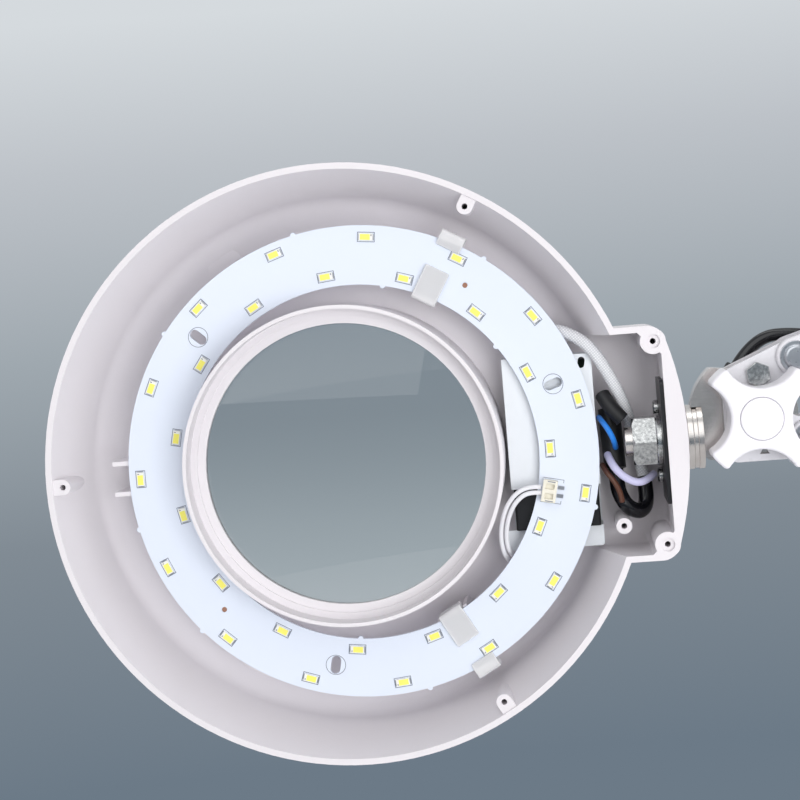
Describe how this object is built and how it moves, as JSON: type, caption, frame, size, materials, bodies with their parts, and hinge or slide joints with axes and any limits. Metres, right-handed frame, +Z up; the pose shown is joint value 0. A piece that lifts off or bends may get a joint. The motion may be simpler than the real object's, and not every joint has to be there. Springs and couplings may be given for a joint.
{
  "type": "magnifying lamp",
  "caption": "Clamp-on bench magnifier lamp, opened for service: ring of LEDs on a board round a glass lens, driver, tilt joint and sprung parallelogram arm.",
  "frame": {"origin": "middle of the clamp's seat, the underside of its upper jaw, which rests on the table top", "axes": "+Z up, square to the clamp's seat; the arm swings in the plane Y = 0, the lamp head hangs at its -X end and faces -Y; +X points from the head to the elbow"},
  "size_m": [0.6369, 0.0579, 0.5558],
  "materials": {
    "housing_white": "fine matte moulded ABS",
    "lens_glass": "polished clear glass",
    "ring_grey": "matte moulded",
    "board_white": "white solder mask on aluminium",
    "led_phosphor": "yellow phosphor in a white body",
    "connector_cream": "matte nylon",
    "clip_milky": "milky translucent silicone",
    "driver_black": "matte black moulding",
    "driver_white": "white painted sheet steel",
    "circuit_green": "circuit board and parts",
    "lead_white": "white insulation",
    "sleeve_white": "woven white sleeving",
    "lead_black": "black insulation, satin",
    "lead_blue": "blue insulation",
    "lead_brown": "brown insulation",
    "lead_lavender": "pale insulation",
    "plate_black": "black enamelled steel",
    "zinc_steel": "zinc plated",
    "nickel_steel": "nickel plated, polished",
    "bracket_white": "white powder coat",
    "bar_white": "white powder coat",
    "washer_nylon": "plain nylon",
    "knob_white": "glossy moulded",
    "spring_steel": "bright drawn wire",
    "boot_black": "matte rubber",
    "clamp_white": "white powder coat",
    "pad_black": "ribbed rubber"
  },
  "bodies": {
    "clamp": {"clamp_body": "clamp_white", "post_bush": "washer_nylon"},
    "lock_screw": {"lock_screw": "knob_white"},
    "clamp_pad": {"clamp_pad": "pad_black"},
    "clamp_screw": {"clamp_screw": "zinc_steel", "screw_handle": "zinc_steel"},
    "base_bracket": {"base_bracket": "bracket_white", "base_pin": "zinc_steel", "base_cable_boot": "boot_black", "base_loop": "lead_black"},
    "rear_main": {"rear_main_bar": "bar_white", "rear_main_screws": "zinc_steel", "rear_lead": "lead_black", "rear_clips": "boot_black", "rear_spring": "spring_steel"},
    "rear_link": {"rear_link_bar": "bar_white", "rear_link_screws": "zinc_steel"},
    "elbow": {"elbow_bracket": "bracket_white", "elbow_clip": "boot_black", "elbow_loop_a": "lead_black", "elbow_loop_b": "lead_black"},
    "forearm_upper": {"forearm_upper_bar": "bar_white", "forearm_upper_screws": "zinc_steel", "forearm_lead": "lead_black", "forearm_clips": "boot_black"},
    "forearm_lower": {"forearm_lower_bar": "bar_white", "forearm_lower_screws": "zinc_steel", "forearm_spring": "spring_steel"},
    "head_bracket": {"head_bracket": "bracket_white", "friction_washers": "washer_nylon", "tilt_bolt": "zinc_steel", "stop_screw": "zinc_steel", "head_cable_boot": "boot_black", "head_loop": "lead_black"},
    "knob": {"tilt_knob": "knob_white", "knob_cap": "knob_white"},
    "stem": {"stem": "nickel_steel", "stem_nut": "zinc_steel", "stem_lock_washer": "zinc_steel", "tilt_ear": "nickel_steel"},
    "head": {"head_housing": "housing_white", "lens": "lens_glass", "lens_retaining_ring": "ring_grey", "led_board": "board_white", "led_chips": "led_phosphor", "board_connector": "connector_cream", "board_clips": "clip_milky", "driver_chassis": "driver_white", "driver_case": "driver_black", "driver_cover": "driver_white", "driver_board": "circuit_green", "output_lead": "lead_white", "heat_sleeve": "sleeve_white", "supply_loop": "lead_black", "splice_sleeves": "lead_black", "blue_wire": "lead_blue", "brown_wire": "lead_brown", "earth_wire": "lead_lavender", "end_plate": "plate_black", "plate_screws": "zinc_steel"}
  },
  "joints": [
    {"name": "base_swivel", "type": "hinge", "parent": "clamp", "child": "base_bracket", "pos_m": [0, 0, 0.045], "axis": [0, 0, 1], "range_deg": [-170, 170]},
    {"name": "rear_tilt", "type": "hinge", "parent": "base_bracket", "child": "rear_main", "pos_m": [0.018, 0, 0.096], "axis": [0, 1, 0], "range_deg": [-25, 25], "deforming": ["rear_spring", "base_loop"]},
    {"name": "rear_link_tilt", "type": "hinge", "parent": "base_bracket", "child": "rear_link", "pos_m": [-0.014, 0, 0.1046], "axis": [0, 1, 0], "range_deg": [-25, 25]},
    {"name": "elbow_level", "type": "hinge", "parent": "rear_main", "child": "elbow", "pos_m": [0.15884, 0, 0.36088], "axis": [0, 1, 0], "range_deg": [-25, 25], "deforming": ["elbow_loop_b"]},
    {"name": "forearm_tilt", "type": "hinge", "parent": "elbow", "child": "forearm_upper", "pos_m": [0.12574, 0, 0.43188], "axis": [0, 1, 0], "range_deg": [-30, 30], "deforming": ["elbow_loop_a"]},
    {"name": "forearm_link_tilt", "type": "hinge", "parent": "elbow", "child": "forearm_lower", "pos_m": [0.12884, 0, 0.39888], "axis": [0, 1, 0], "range_deg": [-30, 30], "deforming": ["forearm_spring"]},
    {"name": "head_level", "type": "hinge", "parent": "forearm_upper", "child": "head_bracket", "pos_m": [-0.16321, 0, 0.35121], "axis": [0, 1, 0], "range_deg": [-30, 30], "deforming": ["head_loop"]},
    {"name": "head_tilt", "type": "hinge", "parent": "head_bracket", "child": "stem", "pos_m": [-0.18061, 0, 0.32921], "axis": [0, 1, 0], "range_deg": [-60, 48]},
    {"name": "head_swivel", "type": "hinge", "parent": "stem", "child": "head", "pos_m": [-0.20271, 0, 0.32141], "axis": [1, 0, 0], "range_deg": [-45, 45]},
    {"name": "knob_turn", "type": "hinge", "parent": "head_bracket", "child": "knob", "pos_m": [-0.18061, 0, 0.32921], "axis": [0, 1, 0], "continuous": true},
    {"name": "lock_screw_turn", "type": "hinge", "parent": "clamp", "child": "lock_screw", "pos_m": [0, -0.02, 0.028], "axis": [0, 1, 0], "continuous": true},
    {"name": "clamp_feed", "type": "slide", "parent": "clamp", "child": "clamp_pad", "axis": [0, 0, 1], "range_m": [-0.012, 0.024]},
    {"name": "clamp_screw_turn", "type": "hinge", "parent": "clamp_pad", "child": "clamp_screw", "pos_m": [-0.006, 0, -0.06], "axis": [0, 0, 1], "range_deg": [-2890, 5770]}
  ],
  "couplings": [
    {"joint": "rear_link_tilt", "follows": "rear_tilt", "ratio": 1},
    {"joint": "elbow_level", "follows": "rear_tilt", "ratio": -1},
    {"joint": "forearm_link_tilt", "follows": "forearm_tilt", "ratio": 1},
    {"joint": "head_level", "follows": "forearm_tilt", "ratio": -1},
    {"joint": "clamp_screw_turn", "follows": "clamp_feed", "rad_per_m": 4188.8}
  ]
}
